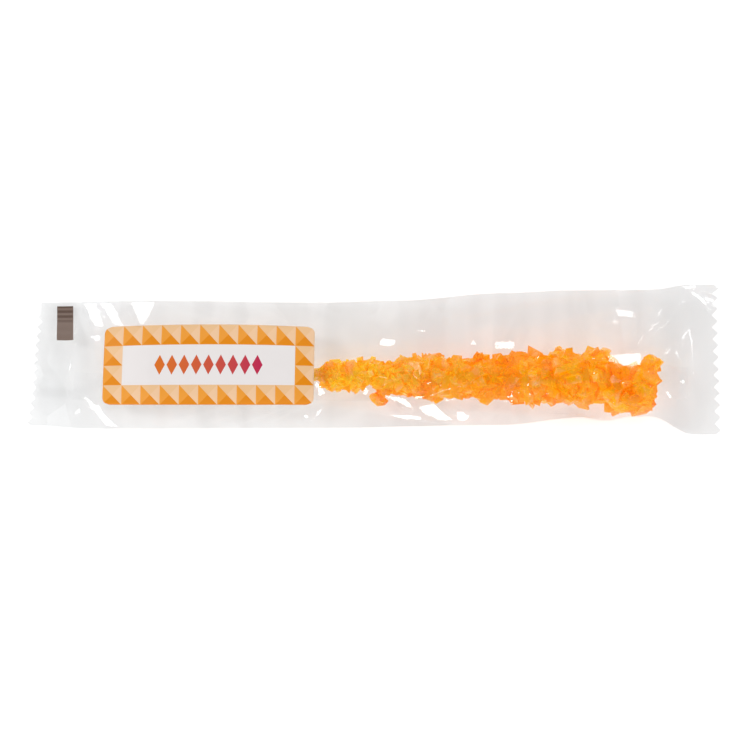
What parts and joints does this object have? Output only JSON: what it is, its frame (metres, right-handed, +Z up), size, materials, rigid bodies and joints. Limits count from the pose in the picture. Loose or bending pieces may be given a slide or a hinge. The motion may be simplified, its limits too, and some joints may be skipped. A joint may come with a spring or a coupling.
{
  "type": "wrapped rock candy stick",
  "caption": "Orange rock candy grown on a wooden stick, sealed in a clear flow-wrap film packet with zigzag end seals and a bordered paper label.",
  "frame": {"origin": "on the surface it lies on, under the middle of the packet's box", "axes": "+X along the packet towards the thick end of the candy, +Y across it, +Z up out of the labelled side"},
  "size_m": [0.2164, 0.0466, 0.019],
  "materials": {
    "film": "clear heat-sealed film, glossy and creased",
    "label": "satin printed label paper",
    "candy": "clear orange sugar crystals",
    "stick": "plain birch dowel"
  },
  "bodies": {
    "root": {"wrapper": "film", "label": "label"}
  },
  "joints": []
}
